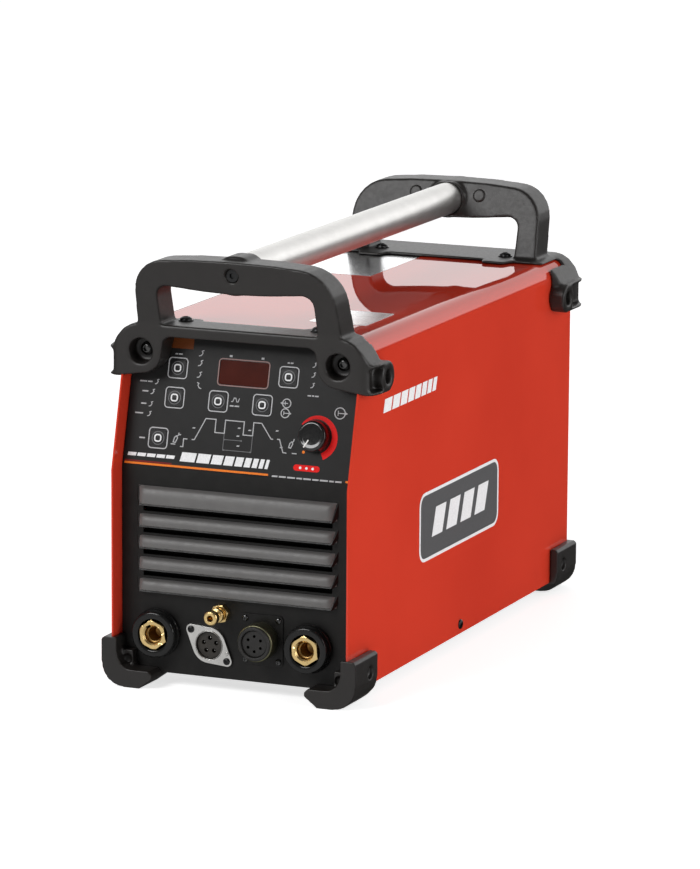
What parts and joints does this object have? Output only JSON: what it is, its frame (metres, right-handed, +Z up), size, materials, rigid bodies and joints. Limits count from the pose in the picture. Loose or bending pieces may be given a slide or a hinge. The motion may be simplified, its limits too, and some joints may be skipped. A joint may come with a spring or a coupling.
{
  "type": "tig welder",
  "caption": "Portable inverter TIG welding power source: red sheet sleeve, black louvred front with keys and dial, corner guards, leaning end handles joined by a tube.",
  "frame": {"origin": "on the floor, under the middle of the machine's outer box", "axes": "+Y from the control panel to the rear, +X to the right seen from the front, +Z up"},
  "size_m": [0.239, 0.51, 0.362],
  "materials": {
    "cover_paint": "glossy red enamel",
    "tray_steel": "satin grey",
    "panel_black": "satin black",
    "overlay_grey": "satin dark grey film",
    "window_red": "smoked red",
    "display_black": "matte",
    "key_dark": "glossy",
    "knob_black": "glossy",
    "screw_steel": "machined",
    "shaft_alu": "machined",
    "board_green": "solder mask",
    "collar_black": "glossy",
    "brass": "machined",
    "flange_zinc": "cast zinc look",
    "insert_black": "matte",
    "shell_olive": "olive anodised",
    "tube_alu": "satin anodised",
    "handle_charcoal": "satin moulded",
    "screw_dark": "black oxide",
    "foot_charcoal": "satin moulded",
    "fan_black": "moulded",
    "guard_chrome": "plated wire",
    "switch_black": "glossy",
    "rocker_red": "glossy red",
    "gland_black": "moulded",
    "heatsink_alu": "extruded",
    "capacitor_sleeve": "sleeved can",
    "ferrite": "ferrite with winding",
    "copper_winding": "lacquered winding",
    "potting": "potted block",
    "valve_steel": "valve body",
    "hose_rubber": "hose"
  },
  "bodies": {
    "machine": {"cover": "cover_paint", "base_tray": "tray_steel", "front_panel": "panel_black", "rear_panel": "panel_black", "control_overlay": "overlay_grey", "display_window": "window_red", "display_module": "display_black", "potentiometer": "screw_steel", "control_board": "board_green", "socket_collar_left": "collar_black", "socket_collar_right": "collar_black", "socket_insert_left": "brass", "socket_insert_right": "brass", "gas_outlet": "brass", "signal_flange": "flange_zinc", "signal_insert": "insert_black", "remote_shell": "shell_olive", "remote_insert": "insert_black", "handle_tube": "tube_alu", "front_handle": "handle_charcoal", "rear_handle": "handle_charcoal", "tube_plug_front": "screw_steel", "tube_plug_rear": "screw_steel", "handle_bolt_front": "screw_dark", "handle_bolt_rear": "screw_dark", "top_screw_front_left": "screw_dark", "top_screw_front_right": "screw_dark", "top_screw_rear_left": "screw_dark", "top_screw_rear_right": "screw_dark", "foot_front_left": "foot_charcoal", "foot_front_right": "foot_charcoal", "foot_rear_left": "foot_charcoal", "foot_rear_right": "foot_charcoal", "fan_frame": "fan_black", "fan_guard": "guard_chrome", "switch_body": "switch_black", "cable_gland": "gland_black", "gas_inlet": "brass", "heatsink": "heatsink_alu", "power_board": "board_green", "capacitor_left": "capacitor_sleeve", "capacitor_right": "capacitor_sleeve", "transformer": "ferrite", "output_choke": "copper_winding", "arc_starter": "potting", "gas_valve": "valve_steel", "gas_hose_in": "hose_rubber", "gas_hose_out": "hose_rubber"},
    "dial": {"knob": "knob_black", "knob_shaft": "shaft_alu"},
    "fan": {"fan_rotor": "fan_black"},
    "rocker": {"switch_rocker": "rocker_red"},
    "plunger": {"valve_plunger": "valve_steel"},
    "key_process_cap": {"key_process": "key_dark"},
    "key_trigger_cap": {"key_trigger": "key_dark"},
    "key_pulse_cap": {"key_pulse": "key_dark"},
    "key_remote_cap": {"key_remote": "key_dark"},
    "key_memory_cap": {"key_memory": "key_dark"},
    "key_select_cap": {"key_select": "key_dark"}
  },
  "joints": [
    {"name": "key_process_press", "type": "slide", "parent": "machine", "child": "key_process_cap", "axis": [0, 0.9691, -0.2465], "range_m": [0, 0.0008], "stiffness_N_per_m": 1500},
    {"name": "key_trigger_press", "type": "slide", "parent": "machine", "child": "key_trigger_cap", "axis": [0, 0.9691, -0.2465], "range_m": [0, 0.0008], "stiffness_N_per_m": 1500},
    {"name": "key_pulse_press", "type": "slide", "parent": "machine", "child": "key_pulse_cap", "axis": [0, 0.9691, -0.2465], "range_m": [0, 0.0008], "stiffness_N_per_m": 1500},
    {"name": "key_remote_press", "type": "slide", "parent": "machine", "child": "key_remote_cap", "axis": [0, 0.9691, -0.2465], "range_m": [0, 0.0008], "stiffness_N_per_m": 1500},
    {"name": "key_memory_press", "type": "slide", "parent": "machine", "child": "key_memory_cap", "axis": [0, 0.9691, -0.2465], "range_m": [0, 0.0008], "stiffness_N_per_m": 1500},
    {"name": "key_select_press", "type": "slide", "parent": "machine", "child": "key_select_cap", "axis": [0, 0.9691, -0.2465], "range_m": [0, 0.0008], "stiffness_N_per_m": 1500},
    {"name": "dial_turn", "type": "hinge", "parent": "machine", "child": "dial", "pos_m": [0.0651, -0.22163, 0.21683], "axis": [0, 0.9691, -0.2465], "range_deg": [0, 270]},
    {"name": "fan_spin", "type": "hinge", "parent": "machine", "child": "fan", "pos_m": [0, 0.215, 0.108], "axis": [0, 1, 0], "continuous": true},
    {"name": "rocker_tilt", "type": "hinge", "parent": "machine", "child": "rocker", "pos_m": [-0.052, 0.2355, 0.218], "axis": [-1, 0, 0], "range_deg": [0, 22]},
    {"name": "plunger_lift", "type": "slide", "parent": "machine", "child": "plunger", "axis": [0, 0, 1], "range_m": [0, 0.002], "stiffness_N_per_m": 400}
  ]
}
